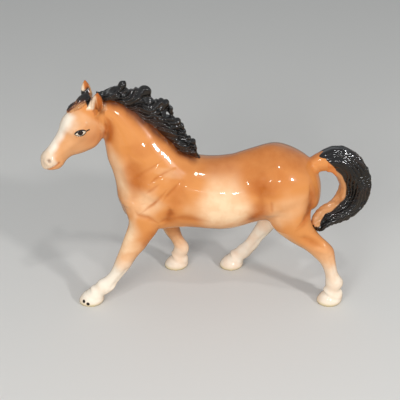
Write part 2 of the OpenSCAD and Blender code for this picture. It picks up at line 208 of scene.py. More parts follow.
def smooth(obj, width, grain):
    """Smooths a mesh over a width that may differ from point to point, and keeps its size."""
    points, edges = points_of(obj), edges_of(obj)
    widest = np.max(width)
    rounds = max(2, int(math.ceil(widest ** 2 / (0.35 * grain ** 2))))
    share = 0.7 * (np.asarray(width) / widest) ** 2
    soft = blurred(points, edges, share, rounds)
    soft += blurred(points - soft, edges, share, rounds)
    move_to(obj, soft)


def onto(places, start, end):
    """How far along a straight piece each place comes nearest (0 to 1), and how near."""
    along = end - start
    share = np.clip((places - start) @ along / (along @ along), 0, 1)
    return share, np.linalg.norm(places - start - share[:, None] * along, axis=1)


def away(places, line):
    """Distance of each place from a line of points."""
    line = np.array(line, float)
    nearest = np.linalg.norm(places - line[0], axis=1)
    for start, end in zip(line[:-1], line[1:]):
        nearest = np.minimum(nearest, onto(places, start, end)[1])
    return nearest


def run_along(line):
    """How far along a line each of its points is."""
    return np.concatenate([[0], np.cumsum(np.linalg.norm(np.diff(line, axis=0), axis=1))])


def stroke(places, line, radius):
    """A soft stroke along a line of points: 1 on it, and thinner towards both of its ends."""
    line = np.array(line, float)
    if len(line) == 1:
        return bell(away(places, line), radius)
    runs = run_along(line)
    best = np.full(len(places), np.inf)
    share = np.zeros(len(places))
    for k, (start, end) in enumerate(zip(line[:-1], line[1:])):
        part, gap = onto(places, start, end)
        nearer = gap < best
        best[nearer] = gap[nearer]
        share[nearer] = (runs[k] + part * (runs[k + 1] - runs[k]))[nearer] / runs[-1]
    thin = 0.25 + 0.75 * step(np.minimum(share, 1 - share), 0, 0.35)
    return thin * bell(best, radius * thin)


def bell(distance, radius):
    """1 at no distance, and 0.6 at the radius, in the shape of a bell."""
    return np.exp(-0.5 * (distance / radius) ** 2)


def step(value, low, high):
    """0 below low, 1 above high, and a smooth rise between them."""
    share = np.clip((value - low) / (high - low), 0, 1)
    return share * share * (3 - 2 * share)


def ripple(points, size):
    """An uneven wave between -1 and 1, with hills about as wide as size."""
    scaled = points / size * 2.2
    x, y, z = scaled[:, 0], scaled[:, 1], scaled[:, 2]
    return (np.sin(1.1 * x + 0.7 * y + 0.3 + 1.3 * np.sin(0.8 * z))
            + np.sin(0.9 * y - 1.3 * z + 1.7 + 1.1 * np.sin(0.9 * x))
            + np.sin(1.2 * z + 0.8 * x + 4.1 + 1.2 * np.sin(1.1 * y))) / 3


def head_axes():
    """The head's own directions: along the face, out to its left, up off the face."""
    ct, st = math.cos(HEAD_TURN), math.sin(HEAD_TURN)
    cp, sp = math.cos(HEAD_PITCH), math.sin(HEAD_PITCH)
    return np.array([(-ct * cp, -st * cp, -sp), (st, -ct, 0), (-ct * sp, -st * sp, cp)])


def in_head(points):
    """Places of the drawing in the head's own measures."""
    return (points - HEAD_AT) @ head_axes().T


def out_of_head(point):
    """A place in the head's own measures as one of the drawing."""
    return HEAD_AT + np.array(point) @ head_axes()


# ---- The skin: body, head, ears and legs, modelled as one ----
LEGS = ["left_foreleg", "right_foreleg", "left_hindleg", "right_hindleg"]
SKIN_NODES = ["body", "head", "left_ear", "right_ear"] + LEGS


def without_hollow(obj):
    """Closes the body where its vent hole opens, and drops the wall of its hollow."""
    vent = at((*VENT_AT, 0)).xy
    reach = 0.52 * VENT_WIDE * MM
    with opened(obj) as made:
        tube = [f for f in made.faces if abs(f.normal.z) < 0.5
                and all((v.co.xy - vent).length < reach for v in f.verts)]
        bmesh.ops.delete(made, geom=tube, context="FACES")
        outermost = min(made.verts, key=lambda v: v.co.x)
        found, front = {outermost}, [outermost]
        while front:
            vertex = front.pop()
            for edge in vertex.link_edges:
                other = edge.other_vert(vertex)
                if other not in found:
                    found.add(other)
                    front.append(other)
        inside = [v for v in made.verts if v not in found]
        bmesh.ops.delete(made, geom=inside, context="VERTS")
        close_holes(made)


def close_holes(made):
    bmesh.ops.holes_fill(made, edges=[e for e in made.edges if e.is_boundary], sides=0)


def edited(obj, operation, **settings):
    """Runs an operation of edit mode on all of a mesh."""
    only(obj)
    bpy.ops.object.mode_set(mode="EDIT")
    bpy.ops.mesh.select_all(action="SELECT")
    operation(**settings)
    bpy.ops.object.mode_set(mode="OBJECT")


def cast_skin():
    """The castings of the body, head, ears, legs and dock, fused into one skin."""
    body = cast_from("skin", "body")
    without_hollow(body)
    dock = cast_from("dock_cast", "tail")
    edited(dock, bpy.ops.mesh.bisect, plane_co=at((DOCK_END, 0, 0)), plane_no=(1, 0, 0),
           use_fill=True, clear_outer=True)
    others = [cast_from(node + "_cast", node) for node in SKIN_NODES[1:]] + [dock]
    return remeshed(joined(body, others), SKIN_GRAIN)


def smooth_skin(obj):
    """The trunk is smoothed widest, and the legs, the head and the ears less."""
    points = points_of(obj)
    face = in_head(points)
    width = SMOOTH_LEGS + (SMOOTH_BODY - SMOOTH_LEGS) * step(points[:, 2], 42, 56)
    on_head = step(face[:, 0], -7, 0) * step(-points[:, 0], 52, 58) * step(points[:, 2], 80, 90)
    width += (SMOOTH_HEAD - width) * on_head
    for side in (-1, 1):
        ear = [(-1, side * 6.8, -2), (-11, side * 9.5, 5.5)]
        width += (SMOOTH_EARS - width) * step(-away(face, ear), -5, -3.4)
    smooth(obj, width, SKIN_GRAIN)


def refine(obj, places, reach, cuts):
    """Makes the mesh finer round some places."""
    with opened(obj) as made:
        near = set()
        for middle in map(at, places):
            near.update(f for f in made.faces
                        if (f.calc_center_median() - middle).length < reach * MM)
        edges = sorted({e for f in near for e in f.edges}, key=lambda e: e.index)
        bmesh.ops.subdivide_edges(made, edges=edges, cuts=cuts, use_grid_fill=True)


# Forms that the hand adds or takes away, as (line, radius, height). Lines are seen from
# the side, as (x, z), and lie on both sides of the horse.
BODY_MUSCLES = [
    ([(-30, 82), (-36, 72)], 4.5, 0.5),                     # triceps
    ([(-46, 72), (-44, 66)], 4.5, 0.8),                     # breast
    ([(-50, 104), (-49, 92), (-46.5, 82)], 3.0, 0.5),       # windpipe
    ([(-45, 96), (-41.5, 86), (-40.5, 79)], 3.2, -0.6),     # groove of the neck
    ([(-36, 106), (-33, 99), (-29, 93)], 3.0, 0.3),         # crest muscle
    ([(-15, 78), (-19, 73), (-20.5, 66)], 3.5, -0.6),       # behind the shoulder
    ([(30, 84), (26.5, 77), (26.5, 70), (24, 62)], 4.0, -0.9),   # flank
    ([(33, 70), (34, 60)], 3.0, 0.5),                       # fold of the stifle
    ([(44, 76), (46, 60)], 7.0, 0.5),                       # haunch
    ([(56.5, 74), (57, 63), (53.5, 55)], 2.6, -0.5),        # behind the haunch
    ([(-31, 47), (-39, 44)], 4.0, 0.3),                     # forearm
]


def both_sides(bulks):
    """Each swelling, and the same one on the other side of the horse."""
    return [((x, side * y, z), radius, height)
            for (x, y, z), radius, height in bulks for side in (-1, 1)]


# Swellings, and hollows where the height is below 0, as (place, radius, height)
BULKS = both_sides([
    ((-46.5, 12, 66), 4.5, 1.6), ((-45.5, 15, 70), 4.0, 0.6),      # breast
    ((-10, 8, 45), 6.5, -1.2), ((-2, 8, 44), 6.5, -1.2),           # belly
]) + [
    ((12, 0, 91), 7.0, 1.1), ((21, 0, 92.5), 7.0, 2.2),            # loin
    ((30, 0, 97), 4.5, 1.3),
    ((57, 0, 88), 4.5, 1.3),                                       # dock
    ((72.1, -16, 37), 3.0, 0.9),                                   # hock
    ((79.4, -16, 13.3), 3.0, 1.8),                                 # hind fetlocks
    ((30.8, 16, 14.8), 3.0, 1.2),
    ((-30, -16, 49.2), 4.5, 1.7), ((-36.1, -16, 38.3), 4.0, 1.2),  # near forearm
    ((-47.2, -16, 54.5), 3.5, -1.0),
    ((-13.1, 16, 16.5), 3.0, 1.0),                                 # far fore fetlock
    ((-63.3, -8, 98.5), 3.0, 1.3),                                 # cheek
    ((-92.7, -14, 91.7), 2.6, -1.1),                               # lower lip
]
FORELOCK_BULKS = [((-76.3, -2, 124.5), 3.0, -1.1), ((-77.5, -2, 121), 3.5, -1.2)]
MANE_BULKS = [((-60, 0, 130.5), 4.0, -1.7)]
BODY_CREASES = [
    ([(-26.7, 93.7), (-31.6, 91.1), (-37.2, 87.7), (-42.9, 82.7)], 0.8, -0.35),    # shoulder
    ([(-19.6, 89.1), (-25.1, 87.5), (-30.6, 84.5), (-34.5, 81.2)], 0.8, -0.45),
    ([(-27.9, 82), (-32.3, 78.8), (-36.3, 75.6)], 0.75, -0.4),
    ([(-22.9, 79.9), (-26.9, 74.8), (-32, 69.1), (-37.7, 65.2), (-40.2, 63.1)],
     0.8, -0.45),
    ([(-15.8, 83.3), (-20.2, 78.6), (-24.7, 74.2), (-27, 70.6)], 0.8, -0.4),
    ([(-42.5, 66), (-40.6, 63), (-35, 61.7), (-29.3, 56.4)], 1.0, -0.5),           # elbow
    ([(-29.3, 56.4), (-25, 59), (-22.3, 63.2)], 1.0, -0.4),
    ([(-22.6, 67.2), (-22.3, 63.2), (-23.3, 59.9)], 1.3, -0.75),
    ([(-21, 60), (-14, 60.5), (-5, 58.5)], 1.4, -0.25),                            # girth
    ([(33.4, 73.8), (34.6, 64.6)], 0.8, -0.35),                                    # stifle
    ([(55.4, 79.2), (57, 68.9), (55.6, 62), (52.6, 58.3), (48.8, 54.6)], 1.2, -0.8),  # haunch
    ([(-57, 118), (-55.8, 115.9), (-54.8, 111), (-55.8, 105.4), (-58.6, 99.4)],      # jaw
     1.2, -0.6),
    ([(-57.6, 116.5), (-57.2, 110.1), (-59.5, 102)], 0.8, -0.75),
]
# Thin dark lines of glaze that gathers in the creases: (line, radius, strength)
GATHERED = [(line, 0.8 * radius, abs(height)) for line, radius, height in BODY_CREASES]


def modelled(obj, forms):
    """Swells and presses the skin along lines that are seen from the side."""
    points, normals = points_of(obj), normals_of(obj)
    seen = points[:, [0, 2]]
    facing = step(np.abs(normals[:, 1]), 0.1, 0.6)
    lift = sum(height * stroke(seen, line, radius) for line, radius, height in forms)
    move_to(obj, points + normals * (facing * lift)[:, None])


def bulked(obj, bulks):
    """Swells the skin round places, or takes some of it away."""
    points, normals = points_of(obj), normals_of(obj)
    lift = sum(height * bell(away(points, [place]), radius) for place, radius, height in bulks)
    move_to(obj, points + normals * lift[:, None])


def refine_details(obj):
    """A finer mesh for the eyes, the nostrils and the specks on the hoof."""
    eyes = [out_of_head((EYE_AT[0], side * 9, EYE_AT[1])) for side in (-1, 1)]
    noses = [out_of_head((NOSTRIL_AT[0], side * 4, NOSTRIL_AT[1])) for side in (-1, 1)]
    refine(obj, eyes, 6.5, 2)
    refine(obj, noses, 4.5, 1)
    refine(obj, HOOF_SPECKS, 2.0, 2)


# Places on the head, in the head's own measures: along the face and up off it
EYE_AT = (13.35, -0.1)
EYE_LONG = 3.1          # half the length of the eye's almond
EYE_HIGH = 1.55         # half its height
EYE_SLANT = math.radians(40.5)
IRIS_AT = (0.1, 0.45)   # how far the iris is in front of the almond's middle and above it
IRIS_WIDE = 1.5         # its radius
LID_LINE = (0.5, 0.22)  # half the width of the line on the upper and on the lower lid
CORNER_AT = (-4.3, 0.15)     # the middle of the line that leaves the eye's outer corner
CORNER_LONG = 0.8       # half its length
NOSTRIL_AT = (36.65, 3.3)
MOUTH = [(35.3, -2.4), (37, -1.6), (39.1, -0.5), (41.5, 0.3)]
HOOF_SPECKS = [(-74.9, -22.4, 3.3), (-72.4, -23.9, 2.4)]     # places of the drawing

HEAD_FORMS = [
    ([(9, 0.2), (13, 3.6), (16.5, 4.8)], 1.1, 0.5),       # brow
    ([(13.4, -0.1)], 2.2, 0.5),                            # eyeball
    ([(10, 5.4)], 2.2, -0.45),                             # hollow above the eye
    ([(16.5, -2), (23, -1.2), (29, 0)], 1.8, 0.35),        # ridge of the cheek bone
    ([(18, -5), (25, -5)], 2.4, -0.25),                    # hollow under it
    ([(9, -8.5)], 4.5, 0.6),                               # round cheek
    ([(20, 2.4), (31, 2.2)], 1.6, -0.25),                  # side of the nose
    ([(36.3, 4.5), (38.2, 4), (38.3, 2.4), (36.4, 1.9)], 0.8, 0.4),   # rim of the nostril
    ([(36.6, 3.2)], 0.75, -0.55),                          # nostril
    ([(35, -4.6)], 1.7, 0.3),                              # chin
    (MOUTH, 0.5, -0.5),
]


def almond(face):
    """Places in the eye's own measures: along the almond, up from its long axis."""
    along, up = face[:, 0] - EYE_AT[0], face[:, 2] - EYE_AT[1]
    cs, sn = math.cos(EYE_SLANT), math.sin(EYE_SLANT)
    return along * cs + up * sn, up * cs - along * sn


def near_eye(face):
    """1 round the eyes, and 0 elsewhere."""
    return step(-away(face[:, [0, 2]], [EYE_AT]), -6, -5)


def lids(face):
    """How far outside the edge of the eye a place is; negative inside it."""
    along, up = almond(face)
    room = np.maximum(1 - (along / EYE_LONG) ** 2, 0)
    edge = EYE_HIGH * np.where(up > 0, 1.08, 0.92) * room ** 0.75
    return np.abs(up) - edge + 2 * np.maximum(np.abs(along) - EYE_LONG, 0)


# (side, root, tip) in the head's own measures
EARS = [(1, (-0.6, 7.7, -2.0), (-10.4, 8.6, 5.3)), (-1, (0, -7.4, -1.6), (-9.8, -9.1, 6.2))]


def on_ear(face, root, tip):
    """How far up an ear places are (0 to 1), how far in front of its middle, and how far out."""
    root, tip = np.array(root), np.array(tip)
    way = tip - root
    long = np.linalg.norm(way)
    way = way / long
    front = np.array((1.0, 0, 0)) - way[0] * way
    front /= np.linalg.norm(front)
    off = face - root
    up = off @ way / long
    spoke = off - (off @ way)[:, None] * way
    return up, spoke @ front, np.linalg.norm(spoke, axis=1)


def widen_ears(obj):
    """Makes the ears wider, and thicker less than that."""
    points, normals = points_of(obj), normals_of(obj)
    face = in_head(points)
    lift = np.zeros(len(points))
    for _, root, tip in EARS:
        up, _, out = on_ear(face, root, tip)
        lift += step(up, 0.1, 0.35) * step(-up, -0.95, -0.65) * (out < 5)
    thinner = 1 - 0.6 * step(np.abs(normals[:, 1]), 0.6, 0.95)
    move_to(obj, points + normals * (EAR_MORE * lift * thinner)[:, None])


def model_head(obj):
    """Brow, eyes, cheeks, nostrils, mouth and chin."""
    points, normals = points_of(obj), normals_of(obj)
    face = in_head(points)
    on_head = step(face[:, 0], 2, 6) * step(-points[:, 0], 55, 58)
    outwards = step(np.abs(face[:, 1]), 1.2, 3.2)
    seen = face[:, [0, 2]]
    lift = sum(height * bell(away(seen, line), radius) for line, radius, height in HEAD_FORMS)
    rim = lids(face)
    lift += near_eye(face) * (0.22 * bell(rim - 0.45, 0.3) - 0.3 * bell(rim, 0.22))
    move_to(obj, points + normals * (on_head * outwards * lift)[:, None])


STOCKINGS = [
    # side, lowest x, highest x, height where the white ends, its soft edge, how white it is
    (-1, -90, -28, 28, 7, 1.0),       # left foreleg
    (1, -45, -5, 15, 10, 0.7),        # right foreleg
    (-1, 35, 90, 25, 11, 0.85),       # left hind leg
    (1, 5, 60, 38, 11, 0.85),         # right hind leg
]
LEG_CREASES = [
    # side, line, radius, height
    (-1, [(-48.6, 26), (-53.4, 19), (-58, 12.6)], 0.8, -0.45),     # tendons
    (-1, [(69.6, 34), (72.6, 25), (74.4, 18)], 0.8, -0.4),
    (1, [(-21.4, 25), (-18.2, 18)], 0.8, -0.35),
    (1, [(33.5, 26), (28.8, 19), (25, 14)], 0.8, -0.35),
    (-1, [(54, 47.5), (58, 45.4), (63.5, 42)], 1.5, -0.8),         # hollow above the hock
    (1, [(36, 42), (40, 36)], 1.3, -0.4),
    (-1, [(62, 39.5), (66.5, 37.5)], 1.0, 0.35),                   # hock
    (-1, [(-50, 31), (-52.5, 27.5)], 2.0, 0.35),                   # knee
    (1, [(-24.5, 31), (-24.2, 27.5)], 2.0, 0.35),
    (-1, [(-55.8, 11)], 1.8, 0.9),                                 # near fore fetlock
]


def at_hoof(points, hoof):
    """Which points are on a hoof or its pastern."""
    return (np.abs(points[:, 1] - hoof[1]) < 9) & (np.abs(points[:, 0] - hoof[0]) < 12)


def model_legs(obj):
    """Tendons, joints, the groove of each coronet, and flat soles."""
    points, normals = points_of(obj), normals_of(obj)
    seen = points[:, [0, 2]]
    facing = step(np.abs(normals[:, 1]), 0.1, 0.6)
    lift = np.zeros(len(points))
    for side, line, radius, height in LEG_CREASES:
        lift += (points[:, 1] * side > 0) * height * bell(away(seen, line), radius) * facing
    for hoof in HOOVES:
        coronet = [(hoof[0] - 6, 8.2), (hoof[0] + 7, 3.8)]
        lift -= at_hoof(points, hoof) * 0.25 * bell(away(seen, coronet), 0.6)
    points = points + normals * lift[:, None]
    points[:, 2] = np.where(points[:, 2] < SOLE_FLAT, 0, points[:, 2])
    move_to(obj, points)


# ---- The airbrush, with some painted light and shade ----
# Strokes are (line, radius, strength), seen from the side, on both sides of the horse.
PALE = [
    ([(-12, 66), (14, 65), (28, 66)], 10.0, 0.95),          # belly
    ([(-8, 72), (10, 74), (20, 70)], 8.0, 0.35),
    ([(-56, 103), (-51.5, 88), (-49, 76), (-46, 64)], 3.4, 0.65),   # front of the neck
    ([(-31, 79), (-36, 70), (-32, 60)], 7.0, 0.5),          # shoulder
    ([(-24, 84), (-22, 90)], 5.0, 0.3),
    ([(42, 78), (46, 58)], 8.0, 0.3),                       # haunch
    ([(36, 68), (40, 52)], 4.0, 0.3),
    # The front of the forearm: pale airbrush, and in part a painted highlight.
    ([(-42, 62), (-46, 52), (-49, 42), (-53, 31)], 3.6, 0.9),    # front of the forearm
    ([(-38, 46), (-46, 36)], 3.5, 0.4),
]
SHADE = [
    ([(-45, 97), (-41, 84), (-43, 72)], 4.5, 0.7),          # groove of the neck
    ([(-40, 106), (-38, 94)], 6.0, 0.3),
    ([(-58, 119), (-54.8, 115), (-54.3, 110), (-55.5, 104), (-58.6, 99)], 2.0, 0.8),   # jaw
    ([(29, 86), (28.5, 72)], 5.0, 0.7),                     # flank
    ([(28, 76.5), (28.1, 69.7), (27.4, 64), (24.4, 59.1), (18, 56)], 3.0, 0.8),
    ([(0, 88), (10, 87), (30, 88), (55, 84)], 6.0, 0.45),   # along the loin
    ([(55.4, 82), (57.8, 71), (56.6, 62), (53, 57), (48.8, 53)], 2.4, 0.85),   # buttock
    ([(-15, 82), (-19, 73), (-20.5, 63)], 3.6, 0.45),
    ([(-5, 85), (-26, 87)], 5.0, 0.25),
    ([(-22, 60), (-12, 60.5), (0, 58.5)], 1.8, 0.4),
    ([(-29, 54), (-34, 48), (-40, 38)], 2.6, 0.6),          # back of the forearm
    ([(-23, 68), (-22.3, 60), (-26, 54)], 2.8, 0.7),        # behind the elbow
    ([(50, 49), (58, 45), (65, 41)], 1.6, 0.5),             # above the hock
    *GATHERED,
]
DEEP = [
    ([(-22.6, 66), (-22.3, 63.2), (-23.3, 59.9), (-25.5, 57)], 1.0, 0.3),   # pit behind the elbow
    ([(-55.5, 110), (-56.5, 105), (-59, 100)], 0.9, 0.4),
    ([(21, 57.5), (25.5, 61)], 1.6, 0.3),
    ([(57, 70), (55.8, 62.5), (53, 58.5)], 0.9, 0.35),
]


def brushed(seen, strokes):
    """How much of a colour the strokes leave at each place, from 0 to 1."""
    bare = np.ones(len(seen))
    for line, radius, strength in strokes:
        bare *= 1 - strength * stroke(seen, line, radius)
    return 1 - bare


FULL = 1.25             # a mask this high covers all, however uneven the glaze lies


def paint(obj, name, values):
    layer = obj.data.attributes.new(name, "FLOAT", "POINT")
    layer.data.foreach_set("value", np.clip(values, 0, FULL).astype(np.float32))


def edge_height(edge, x):
    """The height, at each x, of an edge that is drawn from the side."""
    return np.interp(x, *np.array(edge).T)


class Coat(dict):
    """How much of each colour lies at each point, by the colour's name."""

    def lay(self, colour, mask):
        """Lays a colour on; where it lies already, the stronger of the two stays."""
        self[colour] = np.maximum(self[colour], mask)


def brush_trunk(coat, points, normals, edges):
    """Chestnut, paler on the swells and darker in the hollows; painted shade in the creases and,
    in part, on top of the back.
    """
    seen = points[:, [0, 2]]
    aside = step(np.abs(normals[:, 1]), 0.05, 0.55)
    for colour, strokes in (("pale", PALE), ("shade", SHADE), ("deep", DEEP)):
        coat.lay(colour, brushed(seen, strokes) * aside)
    # Painted shade: each crease is darkened by how deep it lies in the mesh.
    hollow = ((blurred(points, edges, 0.7, 30) - points) * normals).sum(1)
    coat["shade"] = 1 - (1 - coat["shade"]) * (1 - 0.35 * step(hollow, 0.05, 0.35))
    # Darker on the top of the back, where the skin faces up: partly the airbrush, partly painted
    # shade.
    on_back = step(normals[:, 2], 0.35, 0.9) * step(points[:, 2], 80, 86)
    coat.lay("shade", 0.55 * on_back * step(points[:, 0], -14, 2))


def brush_legs(coat, points, normals):
    """Stockings, paler shins and darker backs, hooves with their rims, and the specks."""
    x, y, z = points.T
    for side, low, high, top, edge, strength in STOCKINGS:
        leg = (y * side > 0) & (x > low) & (x < high) & (z < 50)
        height = z + 1.2 * ripple(points, 5)
        coat.lay("white", leg * strength * (1 - step(height, top - edge, top + edge)))
        # Darker where a leg faces back and paler where it faces forward: partly the airbrush,
        # partly painted shade and painted highlight.
        coat.lay("shade", 0.45 * leg * step(normals[:, 0], 0.3, 0.95) * step(z, 16, 26))
        coat.lay("pale", 0.75 * leg * step(-normals[:, 0], 0.1, 0.8))
        coat.lay("pale", 0.6 * leg * (1 - step(z, top, top + 22)))
    for hoof in HOOVES:
        near = at_hoof(points, hoof)
        coronet = 5.4 - 0.28 * (x - hoof[0])
        coat.lay("white", 0.75 * near * step(coronet + 1 - z, 0, 1))
        coat.lay("horn", 0.9 * near * step(3.2 - z, 0, 3))
    for speck in HOOF_SPECKS:
        coat.lay("ink", step(-np.linalg.norm(points - speck, axis=1), -1.25, -0.85))


def brush_head(coat, points):
    """The blaze, the muzzle, the nostrils, the mouth and the shade under the cheek."""
    face = in_head(points)
    seen = face[:, [0, 2]]
    along, out, up = face.T
    head = step(along, 2, 5) * step(-points[:, 0], 55, 58)
    sides = head * (np.abs(out) > 1.5)
    profile = np.interp(along, [0, 7, 12, 20, 27, 35, 40], [6, 7.6, 8.2, 6.8, 5.8, 6, 4.8])
    blaze = step(up - profile + 3.6 + 0.5 * ripple(points, 4), 0, 2.8) * step(along, 6, 11)
    lip = np.interp(along, [30, 35.3, 39.1, 41.5], [-3, -2.4, -0.5, 0.3])
    muzzle = step(along + 0.6 * up + 0.4 * ripple(points, 4), 33.5, 37)
    muzzle *= step(up - lip, -0.3, 0.6)
    coat.lay("white", head * np.maximum(blaze, 0.55 * muzzle))
    coat.lay("pale", 0.25 * head)
    coat.lay("pink", head * np.maximum(muzzle, 0.5 * step(along, 28, 34) * step(up, 0, 3)))
    # A painted highlight: pink-white on the bulge of the brow between the blaze and the eye.
    coat.lay("pink", 0.4 * head * bell(away(seen, [(11, 5), (15.5, 4.5)]), 1.4))
    coat.lay("grey", sides * bell(away(seen, [NOSTRIL_AT]), 0.75))
    coat.lay("shade", 0.8 * sides * bell(away(seen, MOUTH), 0.6))
    coat.lay("shade", 0.45 * head * bell(away(seen, [(12, -9)]), 5))


def brush_ears(coat, face):
    """Ears with painted highlights on their edges, white at the front, painted shade in the
    hollow, and a painted shadow at their foot.
    """
    for side, root, tip in EARS:
        rise, ahead, spread = on_ear(face, root, tip)
        ear = step(rise, 0.05, 0.2) * (spread < 5.5) * (face[:, 1] * side > 3)
        middle = -np.abs(ahead + 0.3)
        # Painted highlights along the front and back edges of each ear, white at the front.
        coat.lay("pale", ear * (step(ahead, 0.7, 1.6) + 0.5 * step(-ahead, 1.6, 2.2)))
        coat.lay("white", 0.4 * ear * step(ahead, 1.0, 1.9))
        # Painted shade in the hollow of each ear, darkest low down.
        coat.lay("shade", ear * step(middle, -1.5, -0.8))
        coat.lay("deep", 0.7 * ear * step(middle, -1.2, -0.4) * step(-rise, -0.75, -0.2))
        # A painted shadow round the foot of each ear.
        coat.lay("deep", 0.6 * (spread < 4.5) * bell(rise - 0.08, 0.1) * step(-ahead, -0.5, 1.5))


def draw_eyes(coat, face):
    """Black lids, a line at the outer corner, a dark iris, and the white round it."""
    here = near_eye(face) * (np.abs(face[:, 1]) > 4)
    rim = lids(face)
    across, above = almond(face)
    line = np.where(above > 0, *LID_LINE)
    corner = np.hypot(np.maximum(np.abs(across - CORNER_AT[0]) - CORNER_LONG, 0),
                      above - CORNER_AT[1])
    iris = np.hypot(across - IRIS_AT[0], above - IRIS_AT[1])
    coat.lay("ink", here * step(-np.abs(rim - 0.1), -line - 0.1, 0.1 - line))
    coat.lay("ink", here * step(-corner, -0.5, -0.25))
    coat.lay("iris", here * step(-iris, -IRIS_WIDE - 0.1, 0.1 - IRIS_WIDE) * step(-rim, -0.1, 0.1))
    coat.lay("eye_white", here * step(-rim, -0.05, 0.15))


def blacken_at_hair(coat, points, mane):
    """Black that the brush for the hair leaves on the neck and between the ears."""
    x, z = points[:, 0], points[:, 2]
    face = in_head(points)
    along, out, up = face.T
    tree = BVHTree.FromObject(mane, bpy.context.evaluated_depsgraph_get())
    gap = np.full(len(points), 20.0)
    for i in np.flatnonzero((x < 12) & (z > 84)):
        found = tree.find_nearest(at(points[i]), 8 * MM)
        if found[3] is not None:
            gap[i] = found[3] / MM
    gap = np.maximum(gap - 0.4 + 0.6 * ripple(points, 4), 0)
    on_neck = 1 - step(x, -10, -5)
    coat.lay("deep", 0.95 * on_neck * bell(gap, 1.7))
    coat.lay("shade", 0.65 * on_neck * bell(gap, 3.2))
    rise, ahead, spread = on_ear(face, *EARS[1][1:])
    coat.lay("ink", (spread < 5) * step(-rise, -0.6, -0.5) * step(ahead, -1.5, -0.5)
             * step(-along, -4, -2) * (out < -3))
    cap = step(up, 1.0, 3.0) * step(-np.abs(out), -7.0, -5.5)
    cap *= step(z - edge_height(FORELOCK_EDGE, x), 0, 1)
    coat.lay("ink", cap * step(-x, 58, 60) * step(-along, -7, -5))


def paint_skin(obj, mane):
    """Paints each colour of the skin as an attribute that the glaze reads."""
    points, normals = points_of(obj), normals_of(obj)
    coat = Coat((colour, np.zeros(len(points))) for colour, _ in SKIN_COLOURS[1:])
    brush_trunk(coat, points, normals, edges_of(obj))
    brush_legs(coat, points, normals)
    brush_head(coat, points)
    brush_ears(coat, in_head(points))
    draw_eyes(coat, in_head(points))
    blacken_at_hair(coat, points, mane)
    for colour, mask in coat.items():
        paint(obj, colour, mask * (FULL if colour in ("eye_white", "iris", "ink") else 1))


# ---- Parting the skin into the castings it was luted from ----
def ear_joint(ear, share):
    """A place on an ear's axis, and the way along it."""
    _, root, tip = ear
    root, tip = out_of_head(root), out_of_head(tip)
    return root + share * (tip - root), tip - root


# casting: (place on the joint, way out of the trunk, how far the joint reaches)
JOINTS = {
    "left_foreleg": ((-43.6, -16, 41.5), (0, 0, -1), 14),
    "right_foreleg": ((-28.1, 16, 41.5), (0, 0, -1), 13),
    "left_hindleg": ((58.9, -16, 42), (0, 0, -1), 15),
    "right_hindleg": ((37.9, 16, 38.5), (0, 0, -1), 14),
    "left_ear": (*ear_joint(EARS[0], 0.57), 6),
    "right_ear": (*ear_joint(EARS[1], 0.5), 6),
    "head": ((-52.5, 0, 115), (-0.91, 0, 0.41), 24),
}
# a place that is on each casting and on no other
MARKS = {
    "body": (5, -22, 75),
    "head": out_of_head((38, 0, 4)),
    "left_ear": out_of_head(EARS[0][2]),
    "right_ear": out_of_head(EARS[1][2]),
    **{leg: (*hoof, 0) for leg, hoof in zip(LEGS, HOOVES)},
}


def ring_near(edges, middle):
    """The closed ring of edges whose centre is nearest to a place."""
    left, best, nearest = set(edges), None, math.inf
    while left:
        ring = [left.pop()]
        for edge in ring:
            for other in {e for v in edge.verts for e in v.link_edges} & left:
                left.remove(other)
                ring.append(other)
        ends = [v for e in ring for v in e.verts]
        if any(ends.count(v) != 2 for v in set(ends)):
            continue
        gap = (sum((v.co for v in ends), Vector()) / len(ends) - middle).length
        if gap < nearest:
            best, nearest = ring, gap
    return best


def part_at(made, place, way, reach):
    """Opens the skin along the ring in which it meets a plane near a place."""
    middle = at(place)
    faces = [f for f in made.faces if (f.calc_center_median() - middle).length < reach * MM]
    geometry = faces + list({e for f in faces for e in f.edges}) \
        + list({v for f in faces for v in f.verts})
    cut = bmesh.ops.bisect_plane(made, geom=geometry, plane_co=middle, plane_no=way,
                                 dist=0.5 * MERGED * MM)["geom_cut"]
    ring = ring_near([e for e in cut if isinstance(e, bmesh.types.BMEdge)], middle)
    bmesh.ops.split_edges(made, edges=ring)


def drill_vent(made):
    """A blind hole under the belly, where the body's vent hole opens."""
    middle = at((*VENT_AT, 0)).xy
    gone = {f for f in made.faces if f.normal.z < -0.5
            and all((v.co.xy - middle).length < 0.5 * VENT_WIDE * MM for v in f.verts)}
    rim = [e for e in made.edges if len(gone & set(e.link_faces)) == 1]
    bmesh.ops.delete(made, geom=list(gone), context="FACES")
    end = {}
    for vertex in (v for e in rim for v in e.verts):
        if vertex not in end:
            vertex.co.xy = middle + (vertex.co.xy - middle).normalized() * 0.5 * VENT_WIDE * MM
            end[vertex] = made.verts.new(vertex.co, vertex)
            end[vertex].co.z += VENT_DEEP * MM
    for first, second in [e.verts for e in rim]:
        made.faces.new((first, second, end[second], end[first]))


def part_castings(skin):
    """The skin as its eight closed castings, by name."""
    with opened(skin) as made:
        for place, way, reach in JOINTS.values():
            part_at(made, place, way, reach)
    edited(skin, bpy.ops.mesh.separate, type="LOOSE")
    loose = list(bpy.context.selected_objects)
    castings = {}
    for name, mark in MARKS.items():
        gaps = {o: away(points_of(o), [mark]).min() for o in loose}
        castings[name] = min(gaps, key=gaps.get)
        loose.remove(castings[name])
    for speck in loose:
        bpy.data.objects.remove(speck)
    for name, obj in castings.items():
        obj.name = "glazed_" + name
        with opened(obj) as made:
            if name == "body":
                drill_vent(made)
            close_holes(made)
            bmesh.ops.triangulate(made, faces=[f for f in made.faces if len(f.verts) > 4])
            bmesh.ops.recalc_face_normals(made, faces=made.faces)
    return castings


